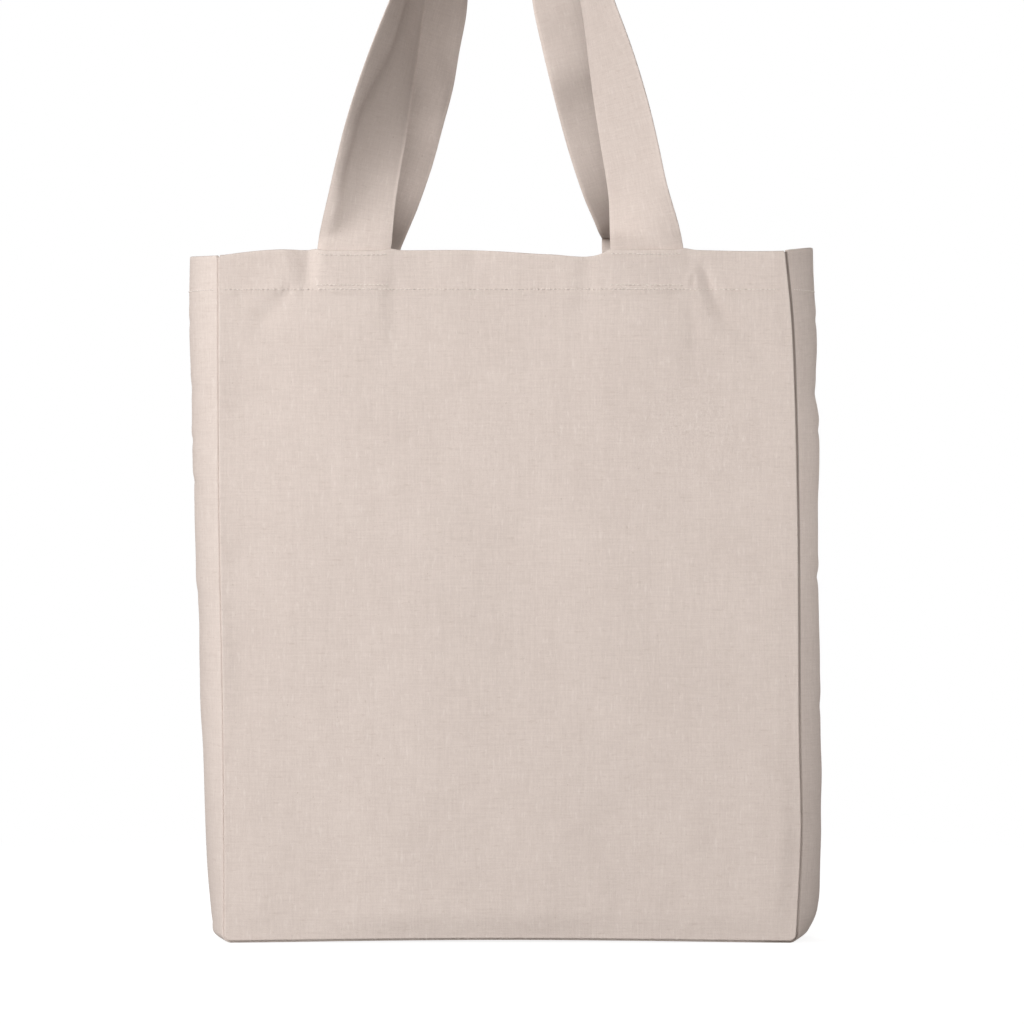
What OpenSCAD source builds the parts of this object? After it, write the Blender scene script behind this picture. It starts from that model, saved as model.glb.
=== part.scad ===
// Canvas tote bag: two flat panels joined by one gusset strip that runs down a side,
// under the bag and up the other side, with a turned-in hem and two strap handles.
// Millimetres, +Z is up, the front faces -Y, and the bag stands open on Z = 0.

/* [Bag] */
// Width of the front and rear panels
panel_w = 336; // [260:2:420]
// Height from the base to the rim
bag_h = 398; // [320:2:460]
// Depth from the front face to the rear face
bag_d = 70; // [60:1:100]
// How far each side of the gusset bows out past the panels
gusset_bow = 13; // [8:0.5:18]
// Radius of the lower corners, seen from the front
corner_r = 28; // [24:1:40]
// Thickness of one layer of canvas
cloth_t = 1; // [0.8:0.1:1.2]

/* [Hem] */
// Height of the turned-in hem
hem_h = 24; // [18:1:32]
// Height of the stitch row above the lower edge of the hem
hem_row_up = 2; // [1:0.5:4]
// Drop of the upper stitch row of a strap end below the rim
rim_row_down = 3; // [2:0.5:6]
// Thickness of the sewing thread
thread_t = 0.6; // [0.4:0.1:0.8]

/* [Handles] */
// Width of the strap
strap_w = 43; // [30:1:50]
// Thickness of the strap
strap_t = 2.4; // [1.6:0.2:3]
// Distance between the centres of the two ends of a handle
strap_spread = 169; // [140:1:200]
// Height of the sewn strap ends above the rim, where the handles bend
neck_h = 10; // [9:1:14]
// Height of the front handle above the rim
front_loop_h = 255; // [220:1:300]
// Height of the rear handle above the rim
rear_loop_h = 258; // [220:1:300]

/* [Hidden] */
$fn = 96;

// Clearance between pieces that move apart
gap = 0.3;
half_w = panel_w / 2;
half_d = bag_d / 2;
// The gusset strip fills the depth between the two panels
gusset_half_d = half_d - cloth_t;
// Radius and centre of the bowed sides, seen from above
bow_r = (pow(gusset_half_d, 2) + pow(gusset_bow, 2)) / (2 * gusset_bow);
bow_x = half_w + gusset_bow - bow_r;
out_w = half_w + gusset_bow;
// Taller than the bag, for cutters that leave the mouth open
over_h = bag_h + 20;
// The hem lies on the panel's inner face, and the strap ends lie on the hem
hem_y = half_d - 2 * cloth_t;
strap_y = hem_y - strap_t;
strap_mid_y = hem_y - strap_t / 2;
hem_z = bag_h - hem_h;
hem_row_z = hem_z + hem_row_up;
rim_row_z = bag_h - rim_row_down;
// Room beside the seam thread, and how far the rows stop short of the strap's edges
seam_room = thread_t + 0.2;
row_inset = 3;
neck_z = bag_h + neck_h;
// Handle curves as Bezier points [x, z] from a strap end to the top of the loop
foot_x = strap_spread / 2;
front_curve = [
    [foot_x, neck_z],
    [foot_x - 10, neck_z + 90],
    [25, bag_h + front_loop_h],
    [0, bag_h + front_loop_h]
];
rear_curve = [
    [foot_x, neck_z],
    [foot_x - 45, neck_z + 70],
    [20, bag_h + rear_loop_h],
    [0, bag_h + rear_loop_h]
];
// A strap turns a quarter on its way up, and a smaller power turns it sooner
front_turn_power = 0.6;
rear_turn_power = 0.85;
leg_steps = 36;
// Share of a leg over which its cross-section tips from level to square with the curve
tip_share = 0.15;

front_canvas = "#d9cdc5";
side_canvas = "#c9bcb3";
strap_canvas = "#ddd2ca";
hem_canvas = "#d2c5bc";
thread_colour = "#ece4dc";

// ---- Outlines ----

// Plan of the bag, inset by i: a rectangle with a bowed segment on each side
module plan(i) {
    square([panel_w - 2 * i, bag_d], center = true);
    for (side = [-1, 1])
        intersection() {
            translate([side * bow_x, 0]) circle(r = bow_r - i);
            translate([side * out_w, 0])
                square([2 * (out_w - bow_x), 2 * gusset_half_d], center = true);
        }
}

// Front view of the bag, inset by i: round lower corners and an open straight top
module elevation(i, top) {
    r = corner_r - i;
    for (side = [-1, 1])
        translate([side * (out_w - corner_r), corner_r]) circle(r = r);
    translate([-(out_w - i), corner_r]) square([2 * (out_w - i), top - corner_r]);
    translate([-(out_w - corner_r), i]) square([2 * (out_w - corner_r), corner_r]);
}

module panel_outline(i, top) {
    intersection() {
        elevation(i, top);
        translate([-(half_w - i), 0]) square([panel_w - 2 * i, top]);
    }
}

// Raises a front view into a slab between two depths
module slab(y0, y1) {
    translate([0, y1, 0]) rotate([90, 0, 0]) linear_extrude(y1 - y0) children();
}

// ---- Bag ----

module bag_volume(i, top) {
    intersection() {
        linear_extrude(top) plan(i);
        slab(-half_d, half_d) elevation(i, top);
    }
}

module front_panel() {
    color(front_canvas) slab(-half_d, -gusset_half_d) panel_outline(0, bag_h);
}

module rear_panel() {
    color(front_canvas) slab(gusset_half_d, half_d) panel_outline(0, bag_h);
}

module gusset_strip() {
    color(side_canvas)
        intersection() {
            difference() {
                bag_volume(0, bag_h);
                bag_volume(cloth_t, over_h);
            }
            translate([-out_w, -gusset_half_d, 0])
                cube([2 * out_w, 2 * gusset_half_d - gap, bag_h]);
        }
}

// ---- Hems ----

module panel_hem(y0, y1) {
    inset = cloth_t + seam_room;
    color(hem_canvas)
        translate([-(half_w - inset), y0, hem_z])
            cube([panel_w - 2 * inset, y1 - y0, hem_h]);
}

module front_hem() {
    panel_hem(-gusset_half_d, -hem_y);
}

module rear_hem() {
    panel_hem(hem_y, gusset_half_d);
}

// Band that follows one bowed side between the insets i0 and i1
module side_band(side, i0, i1, z, h) {
    y0 = -hem_y;
    y1 = hem_y - gap;
    x0 = bow_x + bow_r - gusset_bow - 4 * cloth_t;
    translate([0, 0, z])
        linear_extrude(h)
            intersection() {
                difference() {
                    plan(i0);
                    plan(i1);
                }
                translate([side > 0 ? x0 : -x0 - 2 * gusset_bow, y0])
                    square([2 * gusset_bow, y1 - y0]);
            }
}

module gusset_hem(side) {
    color(hem_canvas) side_band(side, cloth_t, 2 * cloth_t, hem_z, hem_h);
}

module left_gusset_hem() {
    gusset_hem(-1);
}

module right_gusset_hem() {
    gusset_hem(1);
}

// ---- Handles ----

function bezier(p, t) =
    pow(1 - t, 3) * p[0] + 3 * pow(1 - t, 2) * t * p[1]
    + 3 * (1 - t) * t * t * p[2] + pow(t, 3) * p[3];
function bezier_way(p, t) =
    3 * pow(1 - t, 2) * (p[1] - p[0]) + 6 * (1 - t) * t * (p[2] - p[1])
    + 3 * t * t * (p[3] - p[2]);
function smooth(x) = x >= 1 ? 1 : x * x * (3 - 2 * x);
// Turn of the strap about its own length, from 0 at the foot to 90 at the top
function turn(p, t, power) =
    90 * pow((bezier(p, t)[1] - p[0][1]) / (p[3][1] - p[0][1]), power);
// Angle of the cross-section from level, in the plane of the loop
function tip(p, t) =
    atan2(-bezier_way(p, t)[0], bezier_way(p, t)[1]) * smooth(t / tip_share);

// Four corners of the strap at t up one leg; side is the bag's face, leg is left or right
function section(p, t, power, side, leg) =
    let (
        phi = turn(p, t, power),
        lean = tip(p, t),
        inward = [-cos(lean), 0, -sin(lean)],
        across = cos(phi) * inward + [0, sin(phi), 0],
        outward = [0, cos(phi), 0] - sin(phi) * inward,
        c = bezier(p, t),
        centre = [c[0], side * (strap_mid_y + strap_w / 2 * sin(phi)), c[1]]
    )
    [for (k = [[-1, -1], [1, -1], [1, 1], [-1, 1]])
        let (q = centre + k[0] * strap_w / 2 * across + k[1] * strap_t / 2 * outward)
        [leg * q[0], q[1], q[2]]];

function ring_faces(count) = concat(
    [[0, 1, 2], [0, 2, 3]],
    [for (i = [0 : count - 2], j = [0 : 3])
        [4 * i + j, 4 * i + 4 + j, 4 * i + 4 + (j + 1) % 4]],
    [for (i = [0 : count - 2], j = [0 : 3])
        [4 * i + j, 4 * i + 4 + (j + 1) % 4, 4 * i + (j + 1) % 4]],
    [[4 * count - 4, 4 * count - 2, 4 * count - 3],
     [4 * count - 4, 4 * count - 1, 4 * count - 2]]
);

// One strap from the right end over the top to the left end
module handle(p, power, side) {
    rings = concat(
        [for (i = [0 : leg_steps]) section(p, i / leg_steps, power, side, 1)],
        [for (i = [leg_steps - 1 : -1 : 0]) section(p, i / leg_steps, power, side, -1)]
    );
    points = [for (ring = rings, q = ring) q];
    color(strap_canvas) polyhedron(points, ring_faces(2 * leg_steps + 1));
}

module front_handle() {
    handle(front_curve, front_turn_power, -1);
}

module rear_handle() {
    handle(rear_curve, rear_turn_power, 1);
}

// Flat end of a strap, sewn over the hem; side is the bag's face, leg is left or right
module strap_end(side, leg) {
    y0 = side > 0 ? strap_y : -hem_y;
    color(strap_canvas)
        translate([leg * foot_x - strap_w / 2, y0, hem_z])
            cube([strap_w, strap_t, hem_h + neck_h - gap]);
}

module front_left_strap_end() {
    strap_end(-1, -1);
}

module front_right_strap_end() {
    strap_end(-1, 1);
}

module rear_left_strap_end() {
    strap_end(1, -1);
}

module rear_right_strap_end() {
    strap_end(1, 1);
}

// ---- Threads ----

// Row of stitches as a bar that stands just proud of a face at depth y
module row_bar(x0, x1, y, z) {
    translate([x0, y, z]) cube([x1 - x0, gap, thread_t]);
}

module panel_hem_thread(y) {
    color(thread_colour) row_bar(-half_w + row_inset, half_w - row_inset, y, hem_row_z);
}

module front_hem_thread() {
    panel_hem_thread(-half_d - gap);
}

module rear_hem_thread() {
    panel_hem_thread(half_d);
}

module left_gusset_hem_thread() {
    color(thread_colour) side_band(-1, -gap, 0, hem_row_z, thread_t);
}

module right_gusset_hem_thread() {
    color(thread_colour) side_band(1, -gap, 0, hem_row_z, thread_t);
}

// The seam that joins a panel to the gusset strip runs round the panel's inner edge
module seam_thread(y0) {
    color(thread_colour)
        slab(y0, y0 + thread_t)
            difference() {
                panel_outline(cloth_t, bag_h);
                panel_outline(cloth_t + thread_t, over_h);
            }
}

module front_seam_thread() {
    seam_thread(-gusset_half_d);
}

module rear_seam_thread() {
    seam_thread(gusset_half_d - thread_t);
}

// Rows across a strap end: one at the rim and one beside the hem row, on both faces
module strap_stitches(side, leg) {
    x0 = leg * foot_x - strap_w / 2 + row_inset;
    x1 = leg * foot_x + strap_w / 2 - row_inset;
    outer_y = side > 0 ? half_d : -half_d - gap;
    inner_y = side > 0 ? strap_y - gap : -strap_y;
    color(thread_colour) {
        for (z = [rim_row_z, hem_row_z + 2 * thread_t])
            row_bar(x0, x1, outer_y, z);
        for (z = [rim_row_z, hem_row_z])
            row_bar(x0, x1, inner_y, z);
    }
}

module front_left_strap_stitches() {
    strap_stitches(-1, -1);
}

module front_right_strap_stitches() {
    strap_stitches(-1, 1);
}

module rear_left_strap_stitches() {
    strap_stitches(1, -1);
}

module rear_right_strap_stitches() {
    strap_stitches(1, 1);
}

front_panel();
rear_panel();
gusset_strip();
front_hem();
rear_hem();
left_gusset_hem();
right_gusset_hem();
front_handle();
rear_handle();
front_left_strap_end();
front_right_strap_end();
rear_left_strap_end();
rear_right_strap_end();
front_hem_thread();
rear_hem_thread();
left_gusset_hem_thread();
right_gusset_hem_thread();
front_seam_thread();
rear_seam_thread();
front_left_strap_stitches();
front_right_strap_stitches();
rear_left_strap_stitches();
rear_right_strap_stitches();
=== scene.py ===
"""Canvas tote bag: the looks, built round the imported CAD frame.

Metres, +Z up, the front faces -Y. Each cut of canvas is one sheet: its outline, folds, hem and seam
allowances are grown row by row, and its cloth coordinates, in metres, carry the weave.
"""
import math

import bmesh
import bpy
import numpy as np
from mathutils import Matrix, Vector


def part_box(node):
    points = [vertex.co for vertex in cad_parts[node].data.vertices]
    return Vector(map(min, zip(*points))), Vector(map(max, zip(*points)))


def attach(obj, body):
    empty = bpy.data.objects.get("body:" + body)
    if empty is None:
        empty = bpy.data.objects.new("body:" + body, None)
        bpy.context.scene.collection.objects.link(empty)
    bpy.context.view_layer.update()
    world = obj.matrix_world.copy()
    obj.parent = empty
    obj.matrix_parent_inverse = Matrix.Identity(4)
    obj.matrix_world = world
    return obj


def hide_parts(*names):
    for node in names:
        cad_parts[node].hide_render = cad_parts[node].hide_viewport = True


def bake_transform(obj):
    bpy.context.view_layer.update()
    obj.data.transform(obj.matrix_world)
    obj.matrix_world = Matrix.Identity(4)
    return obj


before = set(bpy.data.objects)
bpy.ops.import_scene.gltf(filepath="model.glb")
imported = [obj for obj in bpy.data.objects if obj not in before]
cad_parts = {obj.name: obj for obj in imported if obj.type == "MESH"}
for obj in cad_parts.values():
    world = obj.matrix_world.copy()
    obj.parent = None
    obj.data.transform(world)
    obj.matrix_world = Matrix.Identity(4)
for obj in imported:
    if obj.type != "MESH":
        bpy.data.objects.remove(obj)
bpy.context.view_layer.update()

MM = 0.001
rng = np.random.default_rng(12)

# ---- Sizes from the frame ----

panel_low, panel_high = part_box("front_panel")
HALF_W = panel_high.x
BAG_H = panel_high.z
FRONT_Y = panel_low.y
HEM_H = BAG_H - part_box("front_hem")[0].z
strap_low, strap_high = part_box("front_right_strap_end")
STRAP_W = strap_high.x - strap_low.x
STRAP_X = (strap_low.x + strap_high.x) / 2
STRAP_Y = -(strap_low.y + strap_high.y) / 2
FRONT_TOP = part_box("front_handle")[1].z
REAR_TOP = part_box("rear_handle")[1].z
STRAP_SOLID_HALF = (strap_high.y - strap_low.y) / 2

# ---- Sizes of the cloth ----

CLOTH_T = 0.9 * MM
STRAP_T = 1.7 * MM
# The corner line where panels and gusset meet, as its distance from the middle plane
CORNER_Y = -FRONT_Y - CLOTH_T / 2
# Radius of the fold at a seam, and how far in from the corner line a panel's flat part ends
SEAM_FOLD = 0.55 * MM
SEAM_INSET = (1 + math.sqrt(2)) * SEAM_FOLD + CLOTH_T / math.sqrt(2)
# The panels are pulled down along the base by this much, fading out over BASE_REACH
BASE_TIGHT = 0.45 * MM
BASE_REACH = 20 * MM
BASE_LIFT = 1.6 * MM
BASE_SAG = 0.4 * MM
ALLOWANCE = 6 * MM
# Radius of the fold along the rim, where the hem turns in
HEM_FOLD = 0.6 * MM
CORNER_R = 5 * MM
# Rows of stitches: along the hem, over the straps just above it, and over the straps at the rim
ROW_Z = BAG_H - HEM_H + 2 * MM
BAR_ROW_Z = ROW_Z + 2.4 * MM
RIM_ROW_DOWN = 1.7 * MM
# The hem row ends this far from the seams
SEAM_GAP = 4 * MM
STITCH_PITCH = 2.5 * MM
SEAM_PITCH = 3 * MM
THREAD_D = 0.6 * MM
# The rim's own shape fades out over this height
RIM_REACH = 160 * MM
# Both loops are sewn on a little left of the middle
HANDLE_SHIFT = -2 * MM
# A strap lies close behind the hem's two layers
STRAP_GAP = 0.05 * MM
HEM_BEHIND = 2 * HEM_FOLD + CLOTH_T / 2
STRAP_BEHIND = HEM_BEHIND + STRAP_T / 2 + STRAP_GAP
# How far nearer the middle a strap is sewn on, by (face, side)
FOOT_IN = {(-1, -1): 0.0, (-1, 1): 0.0, (1, -1): 2.5 * MM, (1, 1): 4 * MM}


# ---- Small maths ----

def smooth(x):
    """0 below 0, 1 above 1, and an S curve between."""
    x = np.clip(x, 0, 1)
    return x * x * (3 - 2 * x)


def bump(x, centre, width):
    return np.exp(-(((x - centre) / width) ** 2))


def window(x, low, high, edge):
    """1 between low and high, with soft edges."""
    return smooth((x - low) / edge + 0.5) * smooth((high - x) / edge + 0.5)


def curve(knots, x):
    """Smooth curve through (x, y) knots, flat past its ends."""
    kx, ky = (np.array(c, float) for c in zip(*knots))
    slope = np.gradient(ky, kx)
    x = np.clip(np.asarray(x, float), kx[0], kx[-1])
    i = np.clip(np.searchsorted(kx, x) - 1, 0, len(kx) - 2)
    h = kx[i + 1] - kx[i]
    t = (x - kx[i]) / h
    return (
        (1 + 2 * t) * (1 - t) ** 2 * ky[i]
        + t * (1 - t) ** 2 * h * slope[i]
        + t * t * (3 - 2 * t) * ky[i + 1]
        + t * t * (t - 1) * h * slope[i + 1]
    )


def ripples(seed, count, longest, shortest, upright):
    """A sum of seeded waves over the cloth, of unit height; upright stretches them along Z."""
    r = np.random.default_rng(seed)
    length = shortest * (longest / shortest) ** r.random(count)
    angle = r.normal(0, 0.55 / upright, count) + (r.random(count) < 0.3 / upright) * math.pi / 2
    phase = r.random(count) * 2 * math.pi
    height = (length / longest) ** 0.8
    height /= np.sqrt((height**2).sum() / 2)

    def wave(a, b):
        total = np.zeros(np.broadcast(a, b).shape)
        for size, turn, start, up in zip(length, angle, phase, height):
            total = total + up * np.sin(
                2 * math.pi * (a * math.cos(turn) + b * math.sin(turn)) / size + start
            )
        return total * 0.5

    return wave


# ---- Outline of the bag, seen from the front: (share of height, millimetres) ----

LEFT_SEAM = [(0, -162), (0.1, -162), (0.28, -162.5), (0.65, -165), (1, -165.5)]
RIGHT_SEAM = [
    (0, 169), (0.065, 170.5), (0.16, 172), (0.28, 171.2), (0.64, 170), (0.8, 168.5),
    (0.9, 166.8), (1, 163),
]
LEFT_BOW = [
    (0, 1.5), (0.006, 5), (0.028, 7.3), (0.053, 8.5), (0.095, 10), (0.18, 11.3), (0.27, 12.5),
    (0.64, 15), (0.75, 16), (0.9, 17.3), (1, 17),
]
RIGHT_BOW = [
    (0, 1.5), (0.01, 6.2), (0.02, 8.6), (0.036, 11.2), (0.053, 12.1), (0.095, 12.3), (0.18, 12),
    (0.28, 12.8), (0.64, 12.2), (0.745, 14), (0.8, 12.4), (0.86, 14), (0.93, 14.5), (1, 16),
]

# Height of the rim over its mean: (x, lift), in millimetres
FRONT_RIM = [
    (-182, -3.4), (-160, -2.9), (-151, -1.7), (-129, 0), (-110, -0.6), (-60, -0.6), (-15, -0.6),
    (-2, -1.2), (26, -2.9), (54, -3.3), (62, -0.8), (84, -0.2), (163, -0.6), (182, 0.4),
]
REAR_RIM = [(-182, -1.5), (-120, -0.4), (-60, -1.2), (0, -3), (60, -1.4), (120, -0.6), (182, 0.6)]


def seam_x(side, z):
    return curve(LEFT_SEAM if side < 0 else RIGHT_SEAM, np.asarray(z) / BAG_H) * MM


def bow(side, z):
    """How far the gusset stands out past the seam at height z."""
    return curve(LEFT_BOW if side < 0 else RIGHT_BOW, np.asarray(z) / BAG_H) * MM


def base_z(x):
    """The base stands on its corners and is a little raised between them."""
    return CLOTH_T / 2 + BASE_LIFT * np.clip(1 - (np.asarray(x) / HALF_W) ** 2, 0, 1) ** 1.5


def strap_middle(face, side):
    """Where a strap is sewn on."""
    return side * (STRAP_X - FOOT_IN[face, side]) + HANDLE_SHIFT


def rim_z(face, x):
    """Height of the rim, which the straps lift a little beside their edges."""
    from_middle = np.abs(x - HANDLE_SHIFT)
    lift = sum(bump(from_middle, STRAP_X + side * STRAP_W / 2, 4 * MM) for side in (-1, 1))
    shape = curve(FRONT_RIM if face < 0 else REAR_RIM, np.asarray(x) / MM)
    return BAG_H + (shape + 0.9 * lift) * MM


# ---- Folds of the panels: how far the cloth stands out of its plane ----

FRONT_WAVES = ripples(3, 14, 260 * MM, 70 * MM, 1.6)
REAR_WAVES = ripples(8, 14, 260 * MM, 70 * MM, 1.6)
FINE_WAVES = ripples(21, 26, 42 * MM, 12 * MM, 1.0)
WAVE_H = 1.3 * MM
FINE_WAVE_H = 0.16 * MM
CROWN = 3.0 * MM


def groove(x, z, start, end, width, depth, spread):
    """A soft crease along a line between two points, spread times wider at its end."""
    way = np.array(end) - np.array(start)
    length = np.hypot(*way)
    along = ((x - start[0]) * way[0] + (z - start[1]) * way[1]) / length**2
    across = ((x - start[0]) * way[1] - (z - start[1]) * way[0]) / length
    width = width * (1 + spread * np.clip(along, 0, 1))
    fade = smooth(along / 0.2) * smooth((1 - along) / 0.5)
    return -depth * fade * (bump(across, 0, width) - 0.45 * bump(across, 1.7 * width, 1.4 * width))


def pleat(x, z, top_x, foot_x, down, width, depth):
    """A wedge at the rim: the cloth slopes in from the left and comes back steeply on the right."""
    share = np.clip((BAG_H - z) / down, 0, 1)
    valley = top_x + (foot_x - top_x) * share
    slope = width * (1 - share) + 2.5 * MM
    left = np.clip((x - valley + slope) / slope, 0, 1) * (x < valley)
    right = (1 - smooth((x - valley) / (10 * MM))) * (x >= valley)
    return -depth * (left + right) * (1 - share) ** 0.8


def below_rim(x, down):
    """A point of a panel from x and its distance below the rim, both in millimetres."""
    return (x * MM, BAG_H - down * MM)


def hem_relief(x, z, face):
    """The hem's double cloth, the row that holds it, and the straps pressed through it."""
    down = rim_z(face, x) - z
    double = smooth((HEM_H + 2 * MM - down) / (4 * MM))
    # About one pucker for each stitch, stronger here and there
    pucker = 0.5 + 0.5 * np.sin(2 * math.pi * x / (3.3 * MM) + 3.5 * np.sin(x / (13 * MM)))
    strong = 0.5 + 0.9 * np.sin(x / (23 * MM) + 1.3) + 0.4 * np.sin(x / (7 * MM))
    patchy = 0.35 + 0.65 * smooth(strong)
    relief = 0.25 * double - 0.06 * bump(z, ROW_Z, 0.8 * MM)
    relief += 0.6 * pucker * patchy * bump(z, ROW_Z + 0.6 * MM, 2.4 * MM)
    for side in (-1, 1):
        middle = strap_middle(face, side)
        strap = window(x, middle - STRAP_W / 2, middle + STRAP_W / 2, 4 * MM)
        relief += 0.4 * strap * smooth((HEM_H + 1 * MM - down) / (4 * MM))
        relief += 0.3 * strap * pucker * bump(down, RIM_ROW_DOWN, 1.2 * MM)
    return relief * MM


# Creases: start and end as (x, distance below the rim), width, depth, in millimetres, and spread
FRONT_CREASES = [
    ((112, 4), (131, 54), 2.8, 1.6, 1.2),
    ((120, 26), (168, 78), 3.8, 1.3, 1.4),
    ((108.6, 12), (108.2, 25), 1.1, 0.9, 0.0),
    ((109, 20), (109.5, 84), 3.0, 0.5, 1.0),
    ((49, -8), (45, 60), 5, 1.0, 0.8),
    ((-66, 6), (-58, 76), 4.5, 0.75, 1.0),
    ((-160, 12), (-122, 66), 3, 0.5, 1.5),
    ((-118, 16), (-152, 54), 3.4, 0.9, 1.2),
    ((-20, -8), (-8, 44), 6, 0.7, 1.0),
]
REAR_CREASES = [
    ((112, 2), (142, 74), 4, 1.2, 1.0),
    ((-58, 2), (-34, 84), 4, 0.9, 1.0),
    ((-112, 2), (-138, 60), 4, 0.8, 1.0),
]


def panel_relief(x, z, face):
    """How far a panel stands out of its plane: nothing at the seams and the base."""
    left, right = seam_x(-1, z), seam_x(1, z)
    inside = smooth((x - left) / (14 * MM)) * smooth((right - x) / (14 * MM))
    inside = inside * smooth(z / (18 * MM))
    crown = CROWN * np.sin(math.pi * np.clip((x - left) / (right - left), 0, 1))
    crown = crown * (1 - 0.2 * smooth((z - 0.75 * BAG_H) / (0.25 * BAG_H)))
    waves = FRONT_WAVES if face < 0 else REAR_WAVES
    relief = crown + WAVE_H * waves(x, z) + FINE_WAVE_H * FINE_WAVES(x + face, z)
    if face < 0:
        relief = relief + pleat(x, z, -112.5 * MM, -115.5 * MM, 30 * MM, 11 * MM, 3.0 * MM)
    for start, end, width, depth, spread in FRONT_CREASES if face < 0 else REAR_CREASES:
        line = below_rim(*start), below_rim(*end)
        relief = relief + groove(x, z, *line, width * MM, depth * MM, spread)
    return relief * inside + hem_relief(x, z, face) * inside


def panel_y(x, z, face):
    """Depth of a panel's mid-surface; face is -1 for the front and 1 for the rear."""
    return face * (CORNER_Y + panel_relief(x, z, face))


# ---- Sheets ----

# Wear and shade: above 0 it is how pale the cloth is rubbed: along the rim, on a fold, inside a
# hem, on a strap's edge. Below 0 it is painted shade: the colour is darkened where the seams and
# straps lie in shade.
RIM_WEAR = 0.7
FOLD_WEAR = 1.0
TUCKED_WEAR = 0.1
EDGE_WEAR = 0.6


class Cloth:
    """One cut of canvas: points, cloth coordinates in metres, and quads, grown row by row."""

    def __init__(self):
        self.points, self.flat, self.wear, self.quads = [], [], [], []
        self.count = 0

    def row(self, points, flat, wear):
        """Adds points and returns their indices."""
        first = self.count
        self.count += len(points)
        self.points.append(np.asarray(points, float))
        self.flat.append(np.asarray(flat, float))
        self.wear.append(np.broadcast_to(np.asarray(wear, float), (len(points),)))
        return np.arange(first, self.count)

    def join(self, a, b):
        self.quads.append(np.stack([a[:-1], a[1:], b[1:], b[:-1]], 1))

    def at(self, index):
        """(points, cloth coordinates) of some indices."""
        return np.concatenate(self.points)[index], np.concatenate(self.flat)[index]

    def piece(self, name, material):
        obj = mesh_object(
            name, np.concatenate(self.points), np.concatenate(self.quads).tolist(), material,
            np.concatenate(self.flat), np.concatenate(self.wear),
        )
        solid = obj.modifiers.new("thickness", "SOLIDIFY")
        solid.thickness = CLOTH_T
        solid.offset = 0
        solid.use_even_offset = False
        return obj


def mesh_object(name, points, faces, material, flat=None, wear=None):
    mesh = bpy.data.meshes.new(name)
    mesh.from_pydata(points.tolist(), [], faces)
    shape = bmesh.new()
    shape.from_mesh(mesh)
    bmesh.ops.recalc_face_normals(shape, faces=shape.faces)
    shape.to_mesh(mesh)
    shape.free()
    if flat is not None:
        layer = mesh.uv_layers.new(name="Cloth")
        corners = np.empty(len(mesh.loops), np.int32)
        mesh.loops.foreach_get("vertex_index", corners)
        layer.data.foreach_set("uv", flat[corners].astype(np.float32).ravel())
    if wear is not None:
        attribute = mesh.attributes.new("wear", "FLOAT", "POINT")
        attribute.data.foreach_set("value", wear.astype(np.float32))
    mesh.polygons.foreach_set("use_smooth", np.ones(len(mesh.polygons), bool))
    mesh.materials.append(material)
    mesh.update()
    obj = bpy.data.objects.new(name, mesh)
    bpy.context.scene.collection.objects.link(obj)
    return obj


def corner_arc(side, inset, start, end, steps):
    """Points of a lower corner between two angles, measured from straight down."""
    r = CORNER_R - inset
    centre_x = float(seam_x(side, CORNER_R)) - side * CORNER_R
    centre_z = CORNER_R + float(base_z(centre_x))
    a = np.linspace(start, end, steps)
    return np.stack([centre_x + side * r * np.sin(a), centre_z - r * np.cos(a)], 1)


def side_line(side, inset, heights):
    return np.stack([seam_x(side, heights) - side * inset, heights], 1)


def base_line(inset, steps):
    """Points along the base, between the two corners."""
    low = corner_arc(-1, inset, 0, 0, 1)[0, 0]
    high = corner_arc(1, inset, 0, 0, 1)[0, 0]
    x = np.linspace(low, high, steps)
    return np.stack([x, base_z(x) + inset], 1)


def arc_lengths(points):
    """Length along a line of points, from its first one to each of them."""
    return np.concatenate([[0], np.cumsum(np.linalg.norm(np.diff(points, axis=0), axis=1))])


def inward(chain):
    """Unit normals towards the inside of an outline that runs down, along and up."""
    way = np.gradient(chain, axis=0)
    way /= np.linalg.norm(way, axis=1, keepdims=True)
    return np.stack([-way[:, 1], way[:, 0]], 1)


CORNER_STEPS = 7
SIDE_ROWS = 112
HEM_ROWS = 26
PANEL_COLUMNS = 250
GUSSET_ROWS = 170
BASE_COLUMNS = 130
GUSSET_COLUMNS = 34
# Angles of the rows round the fold along the rim
HEM_TURN = np.linspace(0, math.pi, 7)[1:]
SEAM_TURN_STEPS = 7
ALLOWANCE_STEPS = 3


def sheet_heights(count):
    """Heights of a sheet's rows: count of them up the body, and then the closer ones of the hem."""
    body = np.linspace(CORNER_R + 3 * MM, BAG_H - HEM_H - 3 * MM, count)
    hem = np.linspace(body[-1], BAG_H, HEM_ROWS + 1)[1:]
    return np.concatenate([body, hem])


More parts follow.
